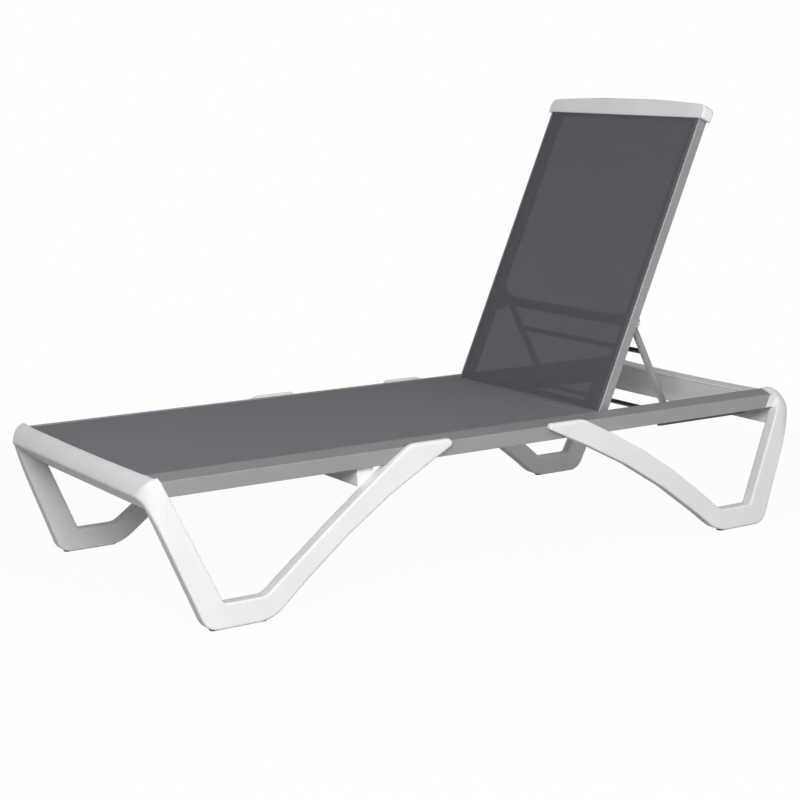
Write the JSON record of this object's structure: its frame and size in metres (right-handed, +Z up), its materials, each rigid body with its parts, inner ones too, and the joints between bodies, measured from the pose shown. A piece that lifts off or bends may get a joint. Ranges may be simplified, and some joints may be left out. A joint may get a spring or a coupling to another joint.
{
  "type": "sun lounger",
  "caption": "Sun lounger with moulded splayed legs, aluminium side rails, a stretched sling seat and a reclining sling back held up by a swinging prop on notched racks.",
  "frame": {"origin": "on the ground, under the middle of the lounger's length and width", "axes": "+X towards the head end, +Y towards the lying person's right hand, +Z up"},
  "size_m": [1.8966, 0.7828, 1.0863],
  "materials": {
    "white_resin": "moulded white resin, satin, soft moulded edges",
    "grey_paint": "silver grey powder coat on aluminium, satin",
    "sling_fabric": "dark grey woven vinyl-coated mesh, slightly see-through",
    "dark_metal": "dark grey coated steel rod, satin",
    "steel": "plain zinc plated steel",
    "black_plastic": "black nylon, matt"
  },
  "bodies": {
    "frame": {"foot_leg_left": "white_resin", "foot_leg_right": "white_resin", "foot_crossbar": "white_resin", "head_leg_left": "white_resin", "head_leg_right": "white_resin", "head_crossbar": "white_resin", "under_seat_stretcher": "white_resin", "side_rail_left": "grey_paint", "side_rail_right": "grey_paint", "seat_rear_tube": "grey_paint", "seat_sling": "sling_fabric", "rack_screw_front_left": "steel", "rack_screw_front_right": "steel", "rack_screw_rear_left": "steel", "rack_screw_rear_right": "steel", "hinge_bolt_left": "steel", "hinge_bolt_right": "steel", "hinge_nut_left": "steel", "hinge_nut_right": "steel", "foot_glide_left": "black_plastic", "foot_glide_right": "black_plastic", "head_glide_left": "black_plastic", "head_glide_right": "black_plastic", "seat_cord_left": "black_plastic", "seat_cord_right": "black_plastic", "notch_rack_left": "black_plastic", "notch_rack_right": "black_plastic", "hinge_spacer_left": "black_plastic", "hinge_spacer_right": "black_plastic"},
    "back": {"back_rail_left": "grey_paint", "back_rail_right": "grey_paint", "back_top_cap": "white_resin", "back_wide_bar": "grey_paint", "back_lower_tube": "grey_paint", "back_sling": "sling_fabric", "back_cord_left": "black_plastic", "back_cord_right": "black_plastic", "prop_bracket_left": "grey_paint", "prop_bracket_right": "grey_paint", "prop_pivot_bolt_left": "steel", "prop_pivot_bolt_right": "steel", "prop_bush_left": "white_resin", "prop_bush_right": "white_resin"},
    "prop": {"prop_arm_left": "grey_paint", "prop_arm_right": "grey_paint", "prop_cross_rod": "dark_metal", "prop_foot_rod": "dark_metal"}
  },
  "joints": [
    {"name": "back_recline", "type": "hinge", "parent": "frame", "child": "back", "pos_m": [0.3397, 0, 0.3152], "axis": [0, 1, 0], "range_deg": [-8, 63.5]},
    {"name": "prop_swing", "type": "hinge", "parent": "back", "child": "prop", "pos_m": [0.47074, 0, 0.53743], "axis": [0, 1, 0], "range_deg": [-126, 16.5]}
  ],
  "couplings": [
    {"joint": "prop_swing", "follows": "back_recline", "ratio": -1.97}
  ]
}
